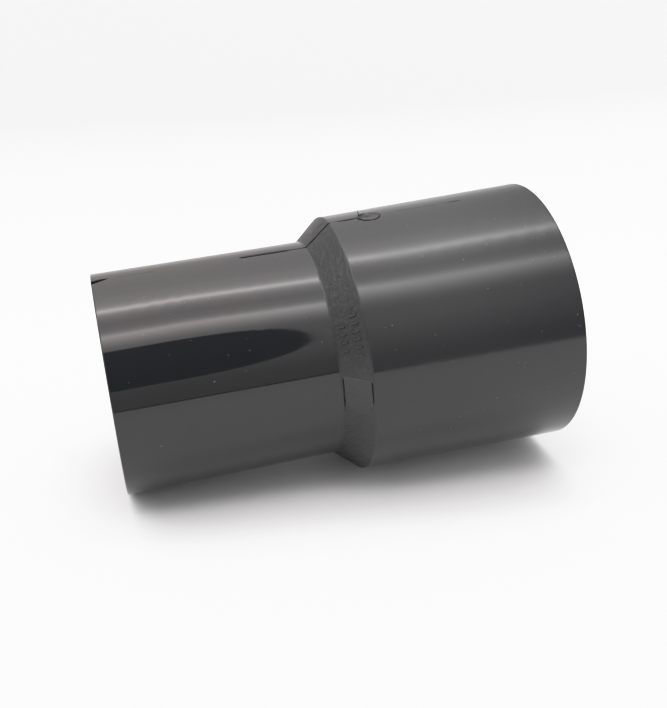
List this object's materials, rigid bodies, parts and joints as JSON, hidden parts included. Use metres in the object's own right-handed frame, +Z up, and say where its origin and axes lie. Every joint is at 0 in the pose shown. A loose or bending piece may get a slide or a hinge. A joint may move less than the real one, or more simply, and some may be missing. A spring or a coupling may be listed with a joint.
{
  "type": "reducing pipe socket",
  "caption": "Straight concentric reducing socket for solvent-cement pressure pipe: a large barrel and a smaller barrel joined by a short cone, one plastic moulding.",
  "frame": {"origin": "centre of the large socket's mouth", "axes": "+X along the pipe axis, out of the large mouth; +Z up as the fitting lies on its side, parting line and gate on top"},
  "size_m": [0.1444, 0.087, 0.0872],
  "materials": {
    "polished_pvc": "polished mould finish, dark grey",
    "textured_pvc": "fine spark-eroded mould texture, dark grey",
    "satin_pvc": "satin, dark grey"
  },
  "bodies": {
    "root": {"large_socket": "polished_pvc", "large_stop_collar": "polished_pvc", "reducing_cone": "textured_pvc", "small_stop_collar": "polished_pvc", "small_socket": "polished_pvc", "marking_pad": "satin_pvc", "raised_marks": "satin_pvc", "gate_mark": "satin_pvc", "parting_flash": "satin_pvc"}
  },
  "joints": []
}
